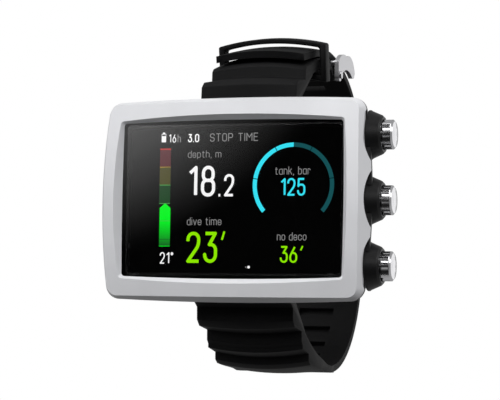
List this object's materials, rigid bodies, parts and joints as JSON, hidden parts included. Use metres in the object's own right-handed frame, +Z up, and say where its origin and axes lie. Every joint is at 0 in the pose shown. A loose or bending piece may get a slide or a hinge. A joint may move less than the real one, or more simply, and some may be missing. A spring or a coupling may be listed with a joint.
{
  "type": "wrist dive computer",
  "caption": "Wrist-worn dive computer with a flat rectangular display, side push buttons and a ribbed rubber strap closed by a metal buckle.",
  "frame": {"origin": "middle of the flat back cover face that lies on the wrist", "axes": "+X out of the push buttons, +Y from the display to the wrist, +Z up the strap towards the buckle"},
  "size_m": [0.0914, 0.1061, 0.1072],
  "materials": {
    "bezel_white": "satin moulded plastic",
    "glass": "polished",
    "seal_rubber": "matte",
    "case_black": "fine texture",
    "cover_black": "fine texture",
    "screw_steel": "satin",
    "sensor_steel": "satin",
    "contact_brass": "plated",
    "insulator": "moulded",
    "display": "gloss",
    "chassis": "moulded",
    "circuit_board": "solder mask",
    "chip_black": "moulded",
    "battery_wrap": "shrink wrap",
    "foam": "open foam",
    "ferrite": "sintered",
    "pin_steel": "ground",
    "spring_steel": "drawn wire",
    "strap_rubber": "matte, soft",
    "keeper_rubber": "matte, soft",
    "buckle_steel": "satin blasted",
    "guard_black": "satin",
    "button_metal": "polished"
  },
  "bodies": {
    "case": {"bezel": "bezel_white", "crystal": "glass", "crystal_seal": "seal_rubber", "case_body": "case_black", "back_cover": "cover_black", "back_cover_seal": "seal_rubber", "back_cover_screws": "screw_steel", "depth_sensor": "sensor_steel", "sensor_grille": "screw_steel", "charging_contacts": "contact_brass", "contact_block": "insulator", "display_panel": "display", "display_chassis": "chassis", "main_board": "circuit_board", "board_components": "chip_black", "battery": "battery_wrap", "battery_foam": "foam", "buzzer": "sensor_steel", "wireless_antenna": "ferrite", "switch_board": "circuit_board", "button_switches": "chip_black", "spring_bar_top": "pin_steel", "spring_bar_bottom": "pin_steel", "upper_strap": "strap_rubber", "lower_strap": "strap_rubber", "buckle_pin": "pin_steel", "button_guard_top": "guard_black", "button_seal_top": "seal_rubber", "button_spring_top": "spring_steel", "button_guard_middle": "guard_black", "button_seal_middle": "seal_rubber", "button_spring_middle": "spring_steel", "button_guard_bottom": "guard_black", "button_seal_bottom": "seal_rubber", "button_spring_bottom": "spring_steel"},
    "top_button": {"button_top": "button_metal", "button_clip_top": "pin_steel"},
    "middle_button": {"button_middle": "button_metal", "button_clip_middle": "pin_steel"},
    "bottom_button": {"button_bottom": "button_metal", "button_clip_bottom": "pin_steel"},
    "buckle": {"buckle_frame": "buckle_steel"},
    "prong": {"buckle_prong": "buckle_steel"},
    "strap_keeper": {"keeper": "keeper_rubber"}
  },
  "joints": [
    {"name": "top_button_press", "type": "slide", "parent": "case", "child": "top_button", "axis": [-1, 0, 0], "range_m": [0, 0.0012], "stiffness_N_per_m": 1200, "springref_m": -0.0012, "deforming": ["button_spring_top"]},
    {"name": "middle_button_press", "type": "slide", "parent": "case", "child": "middle_button", "axis": [-1, 0, 0], "range_m": [0, 0.0012], "stiffness_N_per_m": 1200, "springref_m": -0.0012, "deforming": ["button_spring_middle"]},
    {"name": "bottom_button_press", "type": "slide", "parent": "case", "child": "bottom_button", "axis": [-1, 0, 0], "range_m": [0, 0.0012], "stiffness_N_per_m": 1200, "springref_m": -0.0012, "deforming": ["button_spring_bottom"]},
    {"name": "buckle_tilt", "type": "hinge", "parent": "case", "child": "buckle", "pos_m": [0, 0.0412, 0.0453], "axis": [1, 0, 0], "range_deg": [0, 4]},
    {"name": "prong_lift", "type": "hinge", "parent": "buckle", "child": "prong", "pos_m": [0, 0.0405, 0.0493], "axis": [1, 0, 0], "range_deg": [0, 18]},
    {"name": "keeper_slide", "type": "slide", "parent": "case", "child": "strap_keeper", "axis": [0, 0.981, 0.1942], "range_m": [-0.001, 0.006]}
  ]
}
